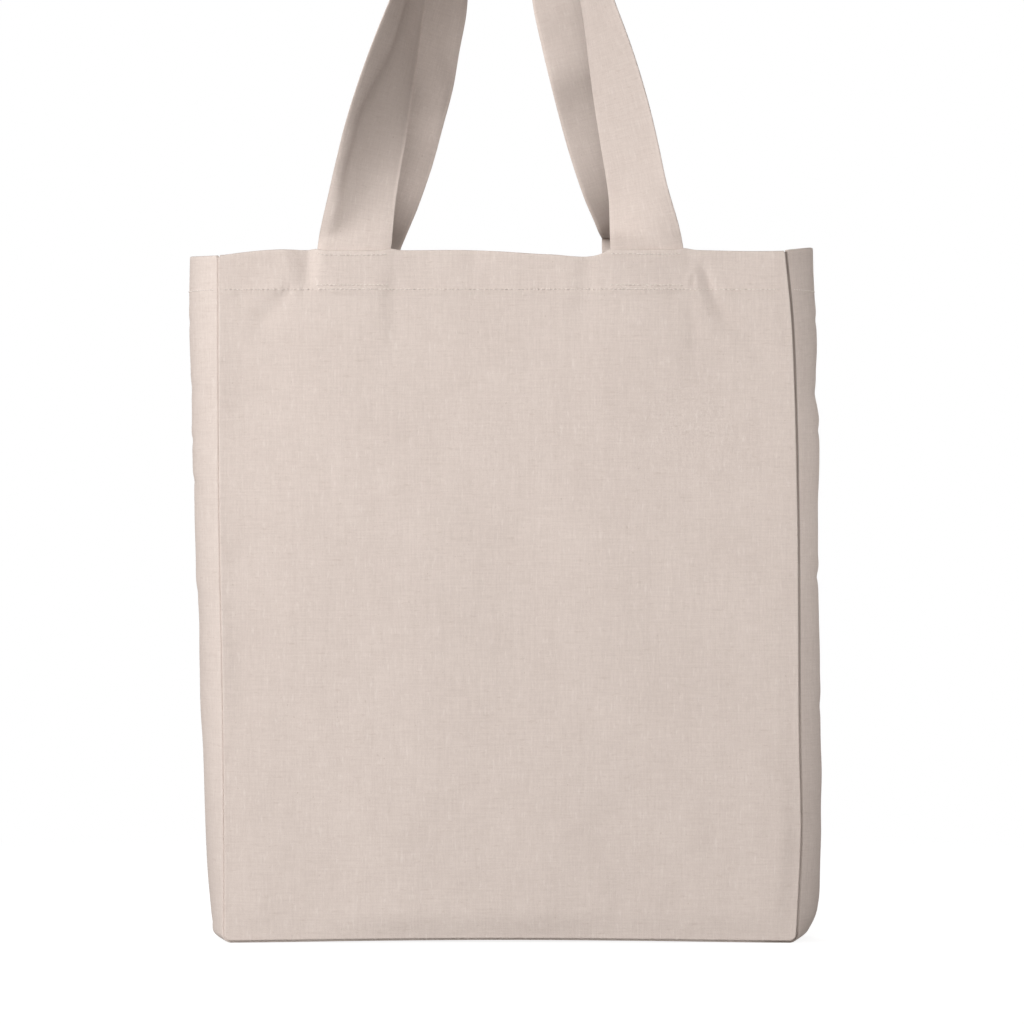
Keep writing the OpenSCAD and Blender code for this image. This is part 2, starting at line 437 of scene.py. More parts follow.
def panel_sheet(name, face, material):
    """(piece, seam) of a panel with its folded hem and its seam allowances turned in."""
    sides = []
    for side in (-1, 1):
        arc = corner_arc(side, SEAM_INSET, math.pi / 4, math.pi / 2, CORNER_STEPS)
        line = side_line(side, SEAM_INSET, sheet_heights(SIDE_ROWS))
        sides.append(np.concatenate([arc, line]))
    left, right = sides
    arc_l = corner_arc(-1, SEAM_INSET, math.pi / 4, 0, CORNER_STEPS)
    arc_r = corner_arc(1, SEAM_INSET, 0, math.pi / 4, CORNER_STEPS)
    bottom = np.concatenate([arc_l[:-1], base_line(SEAM_INSET, PANEL_COLUMNS), arc_r[1:]])
    # Rows and columns are filled in between the four edges
    share_u = (bottom[:, 0] - bottom[0, 0]) / (bottom[-1, 0] - bottom[0, 0])
    top_x = left[-1, 0] + share_u * (right[-1, 0] - left[-1, 0])
    top = np.stack([top_x, np.full(len(top_x), BAG_H)], 1)
    share_v = (left[:, 1] - left[0, 1]) / (left[-1, 1] - left[0, 1])
    u, v = share_u[None, :, None], share_v[:, None, None]
    patch = (1 - v) * bottom[None] + v * top[None] + (1 - u) * left[:, None] + u * right[:, None]
    patch -= (1 - u) * (1 - v) * bottom[0] + u * (1 - v) * bottom[-1]
    patch -= (1 - u) * v * top[0] + u * v * top[-1]
    x, z = patch[..., 0], patch[..., 1]
    z = z + (rim_z(face, x) - BAG_H) * smooth((z - BAG_H + RIM_REACH) / RIM_REACH)
    z = z - BASE_TIGHT * (1 - smooth(z / BASE_REACH))
    y = panel_y(x, z, face)
    points = np.stack([x, y, z], 2)
    flat = np.stack([x, z], 2)

    cloth = Cloth()
    rows = []
    for j in range(len(points)):
        wear = RIM_WEAR * smooth((j - len(points) + 3) / 3)
        rows.append(cloth.row(points[j], flat[j], wear))
        if j:
            cloth.join(rows[-2], rows[-1])
    depth = np.array([0, -face, 0.0])
    up = np.array([0, 0, 1.0])

    # The hem folds round the rim, and its turned-in layer ends short of the seams
    last = rows[-1]
    for a in HEM_TURN:
        shift = HEM_FOLD * (depth * (1 - math.cos(a)) + up * math.sin(a))
        ring = cloth.row(points[-1] + shift, flat[-1] + [0, HEM_FOLD * a], FOLD_WEAR)
        cloth.join(last, ring)
        last = ring
    tuck = slice(CORNER_STEPS, len(bottom) - CORNER_STEPS)
    last = last[tuck]
    for j in range(len(points) - 2, len(points) - HEM_ROWS - 1, -1):
        fall = flat[-1][tuck, 1] - flat[j][tuck, 1]
        down = flat[-1][tuck] + np.stack([0 * fall, fall + math.pi * HEM_FOLD], 1)
        ring = cloth.row(points[j][tuck] + depth * 2 * HEM_FOLD, down, TUCKED_WEAR)
        cloth.join(last, ring)
        last = ring

    edge = np.concatenate([
        np.array([r[0] for r in rows[::-1]]),
        rows[0][1:-1],
        np.array([r[-1] for r in rows]),
    ])
    start, start_flat = cloth.at(edge)
    normal = inward(start[:, [0, 2]])
    inner = np.stack([normal[:, 0], 0 * normal[:, 0], normal[:, 1]], 1)
    seam = turn_in(cloth, edge, start, start_flat, depth, inner, -normal, 0.0)
    return cloth.piece(name, material), seam


def seam_shade(place):
    """How much painted shade the seam's folds and allowances get: open and dark along the right
    side, tight and faint elsewhere.
    """
    x, z = place[:, 0], place[:, 2]
    open_side = smooth((x - 0.8 * HALF_W) / (0.15 * HALF_W))
    at_side = open_side * (0.52 + 0.34 * smooth(z / BAG_H))
    return 0.1 + at_side + 0.3 * open_side * bump(z, 4 * MM, 5 * MM)


def turn_in(cloth, edge, start, start_flat, depth, inner, outward, begin, swap=False):
    """Folds an edge of cloth round the seam and adds its allowance inside the bag.

    The fold starts at the angle begin; swap is for the gusset, which lies across the panels.
    Returns (points, normals) of the line where the seam is sewn.
    """
    last = edge
    begin = np.broadcast_to(begin, (len(edge),))[:, None]
    end = 0.75 * math.pi
    # The fold and the allowance are darkened with the seam's painted shade
    shade = seam_shade(start)
    run = 0.0
    for k in range(1, SEAM_TURN_STEPS + 1):
        a = begin + (end - begin) * k / SEAM_TURN_STEPS
        if swap:
            place = inner * (np.cos(begin) - np.cos(a)) - depth * (np.sin(a) - np.sin(begin))
        else:
            place = depth * (np.cos(begin) - np.cos(a)) - inner * (np.sin(a) - np.sin(begin))
        run += SEAM_FOLD * float(np.mean(end - begin)) / SEAM_TURN_STEPS
        flat = start_flat + outward * run
        ring = cloth.row(start + SEAM_FOLD * place, flat, -shade * smooth(k / 3))
        cloth.join(last, ring)
        last = ring
    fold_end = start + SEAM_FOLD * place
    way = (inner + depth) / math.sqrt(2)
    for k in range(1, ALLOWANCE_STEPS + 1):
        reach = ALLOWANCE * k / ALLOWANCE_STEPS
        flat = start_flat + outward * (run + reach)
        ring = cloth.row(fold_end + way * reach, flat, -0.5 * shade)
        cloth.join(last, ring)
        last = ring
    side_way = (inner - depth) / math.sqrt(2)
    return fold_end + way * 2 * MM + side_way * CLOTH_T / 2, side_way


GUSSET_WAVES = ripples(31, 12, 110 * MM, 32 * MM, 1.0)
GUSSET_WAVE_H = 0.4 * MM
# Creases across each side of the gusset: millimetres below the rim, tilt, width and depth
LEFT_CREASES = [
    (38, -0.2, 3, 0.35), (76, 0.15, 4, 0.35), (108, -0.1, 3, 0.55), (131, 0.3, 3.5, 0.5),
    (196, 0.2, 4, 0.4),
]
RIGHT_CREASES = [
    (40, 0.3, 3, 0.5), (83, -0.2, 4, 0.6), (104, -0.4, 4, 0.8), (188, -0.3, 3.5, 0.9),
    (262, 0.2, 5, 0.5),
]
# The right side's rim stands this much higher at its middle
RIGHT_RIM_LIFT = 2.8 * MM


def gusset_edge(side, z):
    """(half width of the gusset between its folds, slope of the cloth there) at height z."""
    steep = np.arctan(2 * bow(side, z) / (CORNER_Y - 2 * MM)) if side else 0.0
    inset = CLOTH_T / math.sqrt(2) + SEAM_FOLD * (math.sqrt(2) + math.cos(steep) - math.sin(steep))
    return CORNER_Y - inset, float(steep)


def gusset_relief(side, y, z):
    """Soft cross creases of a side."""
    relief = GUSSET_WAVE_H * GUSSET_WAVES(z + side, 0.5 * y)
    for down, tilt, width, depth in LEFT_CREASES if side < 0 else RIGHT_CREASES:
        line = BAG_H - down * MM + tilt * y
        relief = relief - depth * MM * bump(z, line, width * MM)
        relief = relief + 0.5 * depth * MM * bump(z, line + 1.8 * width * MM, 1.5 * width * MM)
    return relief * smooth(z / (60 * MM))


def gusset_rim(side, y):
    """The gusset's top edge runs from the front rim to the rear rim."""
    share = smooth((y / CORNER_Y + 1) / 2)
    x = side * HALF_W
    lift = RIGHT_RIM_LIFT * (1 - (y / CORNER_Y) ** 2) if side > 0 else 0
    return rim_z(-1, x) * (1 - share) + rim_z(1, x) * share + lift


def gusset_point(side, y, half, z):
    """Mid-surface of a side of the gusset strip at (y, z), before the rim's own shape."""
    rim = gusset_rim(side, y)
    z_here = z + (rim - BAG_H) * smooth((z - BAG_H + RIM_REACH) / RIM_REACH)
    across = np.clip(1 - (y / half) ** 2, 0, 1)
    down = rim - z_here
    hem = 0.12 * smooth((HEM_H + 3 * MM - down) / (6 * MM)) - 0.06 * bump(z_here, ROW_Z, 1.1 * MM)
    out = (bow(side, z) + gusset_relief(side, y, z)) * across + hem * MM * smooth(across / 0.15)
    return np.stack([seam_x(side, z) + side * out, y, z_here], 1)


def gusset_sheet(name, material):
    """One strip: down the left side, along the base and up the right side."""
    heights = sheet_heights(GUSSET_ROWS)
    left, right = (
        np.concatenate([
            corner_arc(side, 0, 0, math.pi / 2, 2 * CORNER_STEPS), side_line(side, 0, heights),
        ])
        for side in (-1, 1)
    )
    base = base_line(0, BASE_COLUMNS)[1:-1]
    chain = np.concatenate([left[::-1], base, right])
    side_of = np.concatenate([-np.ones(len(left)), np.zeros(len(base)), np.ones(len(right))])
    normal = inward(chain)
    run = arc_lengths(chain)

    cloth = Cloth()
    rows, slopes = [], []
    for (x0, z0), side, s in zip(chain, side_of, run):
        half, steep = gusset_edge(side, z0)
        y = np.linspace(-half, half, GUSSET_COLUMNS)
        if side:
            point = gusset_point(side, y, half, z0)
            point[:, 0] += x0 - float(seam_x(side, z0))
        else:
            sag = BASE_SAG * (1 - (y / half) ** 2)
            point = np.stack([np.full(len(y), x0), y, z0 + sag], 1)
        wear = RIM_WEAR * smooth((z0 - BAG_H + 2 * MM) / (2 * MM))
        rows.append(cloth.row(point, np.stack([y, np.full(len(y), s)], 1), wear))
        slopes.append(steep)
        if len(rows) > 1:
            cloth.join(rows[-2], rows[-1])

    # Both ends fold inwards as hems
    up = np.array([0, 0, 1.0])
    for end, step in ((0, 1), (len(rows) - 1, -1)):
        in_x = np.array([-side_of[end], 0, 0.0])
        start, start_flat = cloth.at(rows[end])
        last = rows[end]
        for a in HEM_TURN:
            shift = HEM_FOLD * (in_x * (1 - math.cos(a)) + up * math.sin(a))
            ring = cloth.row(start + shift, start_flat - [0, step * HEM_FOLD * a], FOLD_WEAR)
            cloth.join(last, ring)
            last = ring
        tuck = slice(2, GUSSET_COLUMNS - 2)
        last = last[tuck]
        for k in range(1, HEM_ROWS):
            points, flat = cloth.at(rows[end + step * k][tuck])
            mirrored = 2 * start_flat[tuck] - flat - [0, step * math.pi * HEM_FOLD]
            mirrored[:, 0] = flat[:, 0]
            ring = cloth.row(points + in_x * 2 * HEM_FOLD, mirrored, TUCKED_WEAR)
            cloth.join(last, ring)
            last = ring

    inner = np.stack([normal[:, 0], 0 * normal[:, 0], normal[:, 1]], 1)
    for column, face in ((0, -1), (-1, 1)):
        edge = np.array([r[column] for r in rows])
        start, start_flat = cloth.at(edge)
        depth = np.array([0, -face, 0.0])
        outward = np.tile([face, 0.0], (len(edge), 1))
        begin = np.array(slopes)
        turn_in(cloth, edge, start, start_flat, depth, inner, outward, begin, swap=True)
    return cloth.piece(name, material)


# ---- Handles ----

def bezier(p, t):
    p, t = np.array(p, float), np.asarray(t, float)[:, None]
    return (
        (1 - t) ** 3 * p[0] + 3 * (1 - t) ** 2 * t * p[1] + 3 * (1 - t) * t * t * p[2] + t**3 * p[3]
    )


# How each strap is turned, in degrees, against height above the rim in millimetres. Its outer flap
# keeps facing forward as far as a ridge, and the rest turns towards the inside of the loop.
# Painted shade is how much the strap's colour is darkened to stand in for shade: where a leg
# turns away from the light, at a foot in the bag's mouth, and in soft bands across it.
FRONT_LEFT_TWIST = {
    "flap": [
        (-30, 0), (0, 0), (20, 2), (45, 12), (58, 20), (87, 36), (125, 52), (144, 62), (200, 79),
        (255, 90),
    ],
    "base": [
        (-30, 0), (0, 1), (20, 2), (40, 3), (58, 14), (87, 33), (125, 50), (144, 58), (200, 79),
        (255, 90),
    ],
    "crease": [
        (-30, 0), (4, 0), (12, 36), (25, 66), (50, 74), (62, 64), (87, 48), (125, 32), (144, 22),
        (200, 0), (255, 0),
    ],
    "ridge": [
        (-30, 0.13), (12, 0.13), (30, 0.15), (50, 0.12), (75, 0.13), (98, 0.24), (127, 0.36),
        (255, 0.42),
    ],
    "painted_shade": [(-30, 0), (24, 0.06), (50, 0.34), (75, 0.5), (144, 0.38), (255, 0.1)],
}
FRONT_RIGHT_TURN = [
    (-30, 0), (-8, 0), (0, 6), (10, 17), (20, 26), (30, 33), (58, 42), (87, 49), (115, 55),
    (144, 64), (200, 79), (255, 90),
]
FRONT_RIGHT_PAINTED_SHADE = [(-30, 0.05), (120, 0.05), (160, 0), (255, 0.08)]
REAR_LEFT_TURN = [
    (-30, 0), (-4, 0), (3, 13), (10, 25), (20, 27), (36, 19), (56, 18), (100, 26), (144, 45),
    (200, 72), (258, 90),
]
REAR_LEFT_PAINTED_SHADE = [
    (-30, 0.5), (0, 0.76), (12, 0.64), (30, 0.22), (47, 0.02), (58, 0.16), (66, 0.12), (80, 0),
    (92, 0.18), (103, 0.14), (124, 0), (144, 0.12), (172, 0.17), (258, 0.1),
]
REAR_RIGHT_TURN = [
    (-30, 0), (9, 0), (15, -12), (26, -20), (42, -14), (56, -8), (100, 0), (144, 12), (200, 56),
    (258, 90),
]
REAR_RIGHT_PAINTED_SHADE = [
    (-30, 0.1), (8, 0.3), (14, 0.95), (28, 0.84), (46, 0.4), (62, 0.22), (84, 0.24), (102, 0.36),
    (113, 0.2), (144, 0.28), (258, 0.04),
]
# Height above the rim, in millimetres, where the rear strap's right leg first leans
REAR_RIGHT_KINK = 14


def plain(turn, painted_shade):
    """A twist without a crease: the same turn over the whole width."""
    crease, ridge = [(-30, 0), (258, 0)], [(-30, 0.2), (258, 0.2)]
    return {"flap": turn, "base": turn, "crease": crease, "ridge": ridge, "painted_shade": painted_shade}


CREASE_SHARE = 0.22
STRAP_COLUMNS = 25
FOOT_ROWS = 16
LEG_ROWS = 120
EDGE_STEPS = 6


def strap_leg(face, path, twist, kink):
    """(points, lengths, painted shade) of half a strap, foot to top, drawn as if on the right."""
    foot = np.linspace(BAG_H - HEM_H + 0.6 * MM, path[0][1], FOOT_ROWS)[:-1]
    leg = bezier(path, np.linspace(0, 1, LEG_ROWS) ** 1.15)
    centre = np.concatenate([np.stack([np.full(len(foot), path[0][0]), foot], 1), leg])
    way = np.gradient(centre, axis=0)
    run = arc_lengths(centre)
    height = (centre[:, 1] - BAG_H) / MM
    lean = np.arctan2(-way[:, 0], way[:, 1]) * smooth((height - kink) / 20 + 0.3)
    painted_shade = curve(twist["painted_shade"], height)

    share = np.linspace(0, 1, STRAP_COLUMNS)
    height = height[:, None]
    parts = ("flap", "base", "crease", "ridge")
    flap, base, crease, ridge = (curve(twist[part], height) for part in parts)
    ridge = ridge + 0.018 * np.sin(height / 8) * smooth(height / 20)
    past = np.clip((share - ridge) / (1 - ridge), 0, 1)
    mix = smooth((share - ridge) / 0.1 + 0.5)
    angle = flap * (1 - mix) + (base + crease * np.exp(-past / CREASE_SHARE)) * mix
    ripple = np.sin(height / (13 - 6 * face) + 3 * share + face) * smooth(height / 40)
    strength = (3.2 - face) * smooth((FRONT_TOP - centre[:, 1:]) / (60 * MM))
    angle = np.radians(angle + strength * ripple)
    step = (STRAP_W - STRAP_T) / (STRAP_COLUMNS - 1)
    middle = (angle[:, 1:] + angle[:, :-1]) / 2
    blank = np.zeros((len(middle), 1))
    reach = np.concatenate([blank, np.cumsum(np.cos(middle), 1)], 1) * step
    depth = np.concatenate([blank, np.cumsum(np.sin(middle), 1)], 1) * step
    reach -= reach[:, -1:] / 2
    # The strap turns about its middle at its foot, and stays out of the bag's mouth higher up
    hold = smooth((height - 10) / 150)
    centre_depth = depth[:, STRAP_COLUMNS // 2 : STRAP_COLUMNS // 2 + 1]
    edge_depth = depth.max(1, keepdims=True) if face < 0 else depth.min(1, keepdims=True)
    depth -= centre_depth * (1 - hold) + edge_depth * hold
    mids = np.stack([
        centre[:, :1] - np.cos(lean)[:, None] * reach,
        face * STRAP_Y + depth,
        centre[:, 1:] - np.sin(lean)[:, None] * reach,
    ], 2)
    return mids, run, painted_shade


def handle_piece(name, face, top, legs):
    """(piece, length) of a closed, round-edged strap; legs are its halves' (path, twist, kink)."""
    left, right = (strap_leg(face, *leg) for leg in legs)
    (left, left_run, left_painted_shade), (right, right_run, right_painted_shade) = left, right
    mids = np.concatenate([right, left[-2::-1] * [-1, 1, 1]])
    top_share = smooth((mids[..., 2] - BAG_H) / (top - BAG_H))
    mids[..., 0] += HANDLE_SHIFT * (1 - top_share)
    painted_shade = np.concatenate([right_painted_shade, left_painted_shade[-2::-1]])
    runs = np.concatenate([right_run, right_run[-1] + left_run[-1] - left_run[-2::-1]])
    share = np.linspace(0, 1, STRAP_COLUMNS)
    # Below the rim the strap lies against the hem
    sewn = panel_y(mids[..., 0], mids[..., 2], face) - face * STRAP_BEHIND
    free = smooth((mids[..., 2] - BAG_H + 2 * MM) / (16 * MM))
    mids[..., 1] = sewn * (1 - free) + mids[..., 1] * free

    along, across = np.gradient(mids, axis=0), np.gradient(mids, axis=1)
    normal = np.cross(along, across)
    normal /= np.linalg.norm(normal, axis=2, keepdims=True)
    across /= np.linalg.norm(across, axis=2, keepdims=True)
    # The folded edges are pressed thinner than the middle
    half = STRAP_T / 2 * (0.5 + 0.5 * smooth(np.minimum(share, 1 - share) * 9))[None, :, None]
    r = STRAP_T / 4
    turn = np.linspace(0, math.pi, EDGE_STEPS)[1:-1]
    near, far = (
        np.stack([
            mids[:, i] + way * r * (normal[:, i] * math.cos(a) + across[:, i] * math.sin(a))
            for a in turn
        ], 1)
        for i, way in ((0, -1), (-1, 1))
    )
    rings = np.concatenate([mids + normal * half, far, (mids - normal * half)[:, ::-1], near], 1)
    count, around = rings.shape[:2]
    arc = r * turn
    wrap = np.concatenate([
        share * STRAP_W, STRAP_W + arc, STRAP_W + math.pi * r + share * STRAP_W,
        2 * STRAP_W + math.pi * r + arc,
    ])
    near_edge = 0.5 * smooth(1 - np.minimum(share, 1 - share) * 20)
    at_edge = EDGE_WEAR * np.ones(len(turn))
    wear = np.concatenate([near_edge, at_edge, near_edge, at_edge])
    # Painted shade is taken off the wear, and darkens the strap's colour
    wear = 0.8 * wear - painted_shade[:, None]
    flat = np.stack([np.tile(wrap, (count, 1)), np.tile(runs[:, None], (1, around))], 2)
    index = np.arange(count * around).reshape(count, around)
    after = np.roll(index, -1, axis=1)
    faces = np.stack([index[:-1], after[:-1], after[1:], index[1:]], 2).reshape(-1, 4).tolist()
    faces += [index[0].tolist(), index[-1].tolist()]
    points, flat = rings.reshape(-1, 3), flat.reshape(-1, 2)
    return mesh_object(name, points, faces, strap_canvas, flat, wear.ravel()), float(runs[-1])


# ---- Stitches ----

def stitch_piece(name, rows, pitch=STITCH_PITCH):
    """Sewn threads along rows of (points, normals), each dipping into the cloth at its ends."""
    beads, sides = 7, 6
    points, faces, flat = [], [], []
    turn = np.arange(sides) / sides * 2 * math.pi
    index = np.arange(beads * sides).reshape(beads, sides)
    after = np.roll(index, -1, axis=1)
    ring_faces = np.stack([index[:-1], after[:-1], after[1:], index[1:]], 2).reshape(-1, 4)
    t = np.linspace(0, 1, beads)
    lift = THREAD_D * (0.85 * np.sin(math.pi * t) ** 0.6 - 0.45)
    radius = THREAD_D / 2 * (0.55 + 0.45 * np.sin(math.pi * t) ** 0.5)
    for path, out in rows:
        length = arc_lengths(path)
        for n in range(int(length[-1] / pitch)):
            jitter = rng.normal(0, 0.05, 4)
            at = pitch * (n + 0.12 + jitter[0] + (0.76 + jitter[1]) * t)
            centre = np.stack([np.interp(at, length, path[:, i]) for i in range(3)], 1)
            away = np.stack([np.interp(at, length, out[:, i]) for i in range(3)], 1)
            way = np.gradient(centre, axis=0)
            way /= np.linalg.norm(way, axis=1, keepdims=True)
            cross = np.cross(way, away)
            slant = cross * (jitter[2] + 0.25) * THREAD_D * (t - 0.5)[:, None]
            centre = centre + away * lift[:, None] + slant
            ring = centre[:, None] + radius[:, None, None] * (
                cross[:, None] * np.cos(turn)[None, :, None]
                + away[:, None] * np.sin(turn)[None, :, None]
            )
            first = len(points) * beads * sides
            faces += (ring_faces + first).tolist()
            faces += [(index[0] + first).tolist(), (index[-1] + first).tolist()]
            points.append(ring.reshape(-1, 3))
            flat.append(np.stack([np.repeat(at, sides), np.tile(turn * THREAD_D / 2, beads)], 1))
    points, flat = np.concatenate(points), np.concatenate(flat)
    return mesh_object(name, points, faces, sewing_thread, flat, np.zeros(len(points)))


def across_panel(face, low, high, z, inside):
    """(points, normals) of a row across a panel, on its outer face or on what lies inside it."""
    x = np.arange(low, high, 0.5 * MM)
    z = np.full(len(x), z) if np.isscalar(z) else z(x)
    y = panel_y(x, z, face)
    if inside:
        middles = [strap_middle(face, side) for side in (-1, 1)]
        over_strap = sum(window(x, m - STRAP_W / 2, m + STRAP_W / 2, 1 * MM) for m in middles)
        y = y - face * (HEM_BEHIND + (STRAP_T + STRAP_GAP) * over_strap)
        out = -face
    else:
        y = y + face * CLOTH_T / 2
        out = face
    return np.stack([x, y, z], 1), np.tile([0.0, out, 0.0], (len(x), 1))


def across_gusset(side, inside):
    """(points, normals) of the hem's row across a side of the gusset."""
    half, _ = gusset_edge(side, ROW_Z)
    y = np.linspace(-half + 1 * MM, half - 1 * MM, 120)
    points = gusset_point(side, y, half, ROW_Z)
    points[:, 2] = ROW_Z
    lean = 1.6 * y / half**2 * bow(side, ROW_Z)
    out = np.stack([np.full(len(y), side), lean, 0 * y], 1)
    out /= np.linalg.norm(out, axis=1, keepdims=True)
    if inside:
        return points - out * HEM_BEHIND, -out
    return points + out * CLOTH_T / 2, out


# ---- Materials ----

class Nodes:
    """Short names for building a node tree."""

    def __init__(self, name):
        self.material = bpy.data.materials.new(name)
        self.material.use_nodes = True
        self.tree = self.material.node_tree
        self.tree.nodes.clear()

    def node(self, kind, inputs=None, **settings):
        n = self.tree.nodes.new(kind)
        for key, value in settings.items():
            setattr(n, key, value)
        for key, value in (inputs or {}).items():
            if isinstance(value, bpy.types.NodeSocket):
                self.tree.links.new(value, n.inputs[key])
            else:
                n.inputs[key].default_value = value
        return n

    def math(self, operation, a, b=0.0, clamp=False):
        n = self.node("ShaderNodeMath", {0: a, 1: b}, operation=operation, use_clamp=clamp)
        return n.outputs[0]

    def weighted(self, *terms):
        """Sum of (value, weight) terms."""
        parts = [self.math("MULTIPLY", value, weight) for value, weight in terms]
        total = parts[0]
        for part in parts[1:]:
            total = self.math("ADD", total, part)
        return total

    def scaled(self, vector, x, y):
        return self.node("ShaderNodeMapping", {"Vector": vector, "Scale": (x, y, 1)}).outputs[0]

    def vector(self, operation, inputs):
        return self.node("ShaderNodeVectorMath", inputs, operation=operation).outputs[0]

    def noise(self, vector, scale, detail=2.0, rough=0.5, output=0):
        n = self.node(
            "ShaderNodeTexNoise",
            {"Vector": vector, "Scale": scale, "Detail": detail, "Roughness": rough},
            noise_dimensions="3D",
        )
        return n.outputs[output]

    def ramp(self, value, low, high):
        """Value from low to high, as 0 to 1."""
        return self.node(
            "ShaderNodeMapRange", {"Value": value, "From Min": low, "From Max": high}, clamp=True,
        ).outputs[0]

    def mix(self, factor, a, b):
        n = self.node("ShaderNodeMix", data_type="RGBA")
        for socket, value in ((n.inputs[0], factor), (n.inputs[6], a), (n.inputs[7], b)):
            if isinstance(value, bpy.types.NodeSocket):
                self.tree.links.new(value, socket)
            else:
                socket.default_value = value
        return n.outputs[2]

    def relief(self, height, strength, distance, **under):
        inputs = {"Height": height, "Strength": strength, "Distance": distance, **under}
        return self.node("ShaderNodeBump", inputs).outputs[0]

    def cloth(self, colour, rough, normal, specular, sheen, sheen_rough):
        shader = self.node("ShaderNodeBsdfPrincipled", {
            "Base Color": colour, "Roughness": rough, "Normal": normal,
            "Specular IOR Level": specular, "Sheen Weight": sheen, "Sheen Roughness": sheen_rough,
        })
        return self.end(shader)

    def end(self, shader):
        out = self.node("ShaderNodeOutputMaterial")
        self.tree.links.new(shader.outputs[0], out.inputs[0])
        return self.material


def rgb(*parts):
    """Linear colour from display values of 0 to 255."""
    linear = [((p / 255 + 0.055) / 1.055) ** 2.4 for p in parts]
    return (*linear, 1.0)


# Two threads of the weave
THREAD_PERIOD = 1.0 * MM
CANVAS_LIGHT, CANVAS_DARK = rgb(226, 213, 205), rgb(206, 192, 184)
# The pale of rubbed cloth, and the dark brown that painted shade mixes in
WORN_COLOUR, PAINTED_SHADE_COLOUR = rgb(232, 221, 213), rgb(112, 98, 90)
# Seed flecks, pale threads and dusky threads: scale across and along, detail of the noise, the
# range of it where they fade in, strength and colour
FLECKS = [
    (560, 420, 1.0, 0.735, 0.80, 0.35, rgb(176, 158, 146)),
    (620, 130, 2.0, 0.60, 0.72, 0.26, rgb(240, 230, 223)),
    (150, 560, 2.0, 0.62, 0.74, 0.34, rgb(196, 180, 170)),
]


def canvas(name, weave_depth):
    """Unbleached plain-weave cotton, by cloth coordinates in metres."""
    n = Nodes(name)
    uv = n.node("ShaderNodeUVMap", uv_map="Cloth").outputs[0]
    # The threads waver by up to half a millimetre
    wobble = n.noise(uv, 90.0, output="Color")
    shift = n.vector("SUBTRACT", {0: wobble, 1: (0.5, 0.5, 0.5)})
    shift = n.vector("SCALE", {0: shift, "Scale": 1.1 * MM})
    parts = n.node("ShaderNodeSeparateXYZ", {0: n.vector("ADD", {0: uv, 1: shift})}).outputs
    turns = 2 * math.pi / THREAD_PERIOD
    warp = n.math("SINE", n.math("MULTIPLY", parts[0], turns))
    weft = n.math("SINE", n.math("MULTIPLY", parts[1], turns))
    over = n.math("MULTIPLY", warp, weft)
    ridges = n.math("MAXIMUM", n.math("ABSOLUTE", warp), n.math("ABSOLUTE", weft))
    weave = n.weighted((over, 0.6), (ridges, 0.5))

    warp_slub = n.noise(n.scaled(uv, 1100, 70), 1.0, 2.0)
    weft_slub = n.noise(n.scaled(uv, 60, 1000), 1.0, 2.0)
    slub = n.weighted((warp_slub, 0.5), (weft_slub, 0.5))
    streak = n.noise(n.scaled(uv, 260, 9), 1.0, 3.0)
    grain = n.noise(uv, 1700.0, 2.0)
    mottle = n.noise(uv, 24.0, 3.0, 0.55)
    tufts = n.noise(n.scaled(uv, 720, 430), 1.0, 3.0, 0.65)
    tone = n.weighted(
        (slub, 1.5), (mottle, 0.5), (streak, 0.35), (grain, 0.75), (weave, 0.03), (tufts, 0.7),
    )
    colour = n.mix(n.ramp(tone, 1.35, 2.45), CANVAS_DARK, CANVAS_LIGHT)
    for across, along, detail, low, high, strength, tint in FLECKS:
        fleck = n.ramp(n.noise(n.scaled(uv, across, along), 1.0, detail), low, high)
        colour = n.mix(n.math("MULTIPLY", fleck, strength), colour, tint)

    wear = n.node("ShaderNodeAttribute", attribute_name="wear").outputs[2]
    worn = n.math("MULTIPLY", wear, n.ramp(n.noise(uv, 420.0, 3.0), 0.3, 0.7), clamp=True)
    colour = n.mix(n.math("MULTIPLY", worn, 0.45), colour, WORN_COLOUR)
    # Below 0 the attribute is painted shade: the colour goes towards a dark brown
    painted_shade_amount = n.math("MULTIPLY", wear, -0.75, clamp=True)
    colour = n.mix(painted_shade_amount, colour, PAINTED_SHADE_COLOUR)

    fine = n.relief(n.weighted((weave, 0.25), (slub, 1.3), (grain, 0.5)), 1.0, weave_depth)
    bumped = n.relief(n.noise(uv, 120.0, 4.0, 0.6), 1.0, 0.35 * MM, Normal=fine)
    rough = n.math("ADD", n.math("MULTIPLY", slub, 0.12), 0.82)
    return n.cloth(colour, rough, bumped, 0.15, 0.04, 0.6)


def thread(name, colour, shade):
    """Twisted cotton sewing thread."""
    n = Nodes(name)
    uv = n.node("ShaderNodeUVMap", uv_map="Cloth").outputs[0]
    parts = n.node("ShaderNodeSeparateXYZ", {0: uv}).outputs
    ply = n.math("SINE", n.weighted((parts[0], 14000.0), (parts[1], 9000.0)))
    fuzz = n.noise(uv, 3000.0, 2.0)
    twist = n.ramp(n.math("ADD", n.math("MULTIPLY", ply, 0.25), fuzz), 0.2, 0.9)
    rough = n.math("ADD", n.math("MULTIPLY", fuzz, 0.2), 0.6)
    bumped = n.relief(ply, 0.6, 0.05 * MM)
    return n.cloth(n.mix(twist, shade, colour), rough, bumped, 0.3, 0.1, 0.5)


panel_canvas = canvas("canvas", 0.09 * MM)
gusset_canvas = canvas("gusset_canvas", 0.09 * MM)
strap_canvas = canvas("strap_canvas", 0.11 * MM)
sewing_thread = thread("sewing_thread", rgb(244, 236, 230), rgb(230, 219, 211))


# ---- The bag ----

front, front_seam = panel_sheet("front_cloth", -1, panel_canvas)
rear, rear_seam = panel_sheet("rear_cloth", 1, panel_canvas)
gusset = gusset_sheet("gusset_cloth", gusset_canvas)


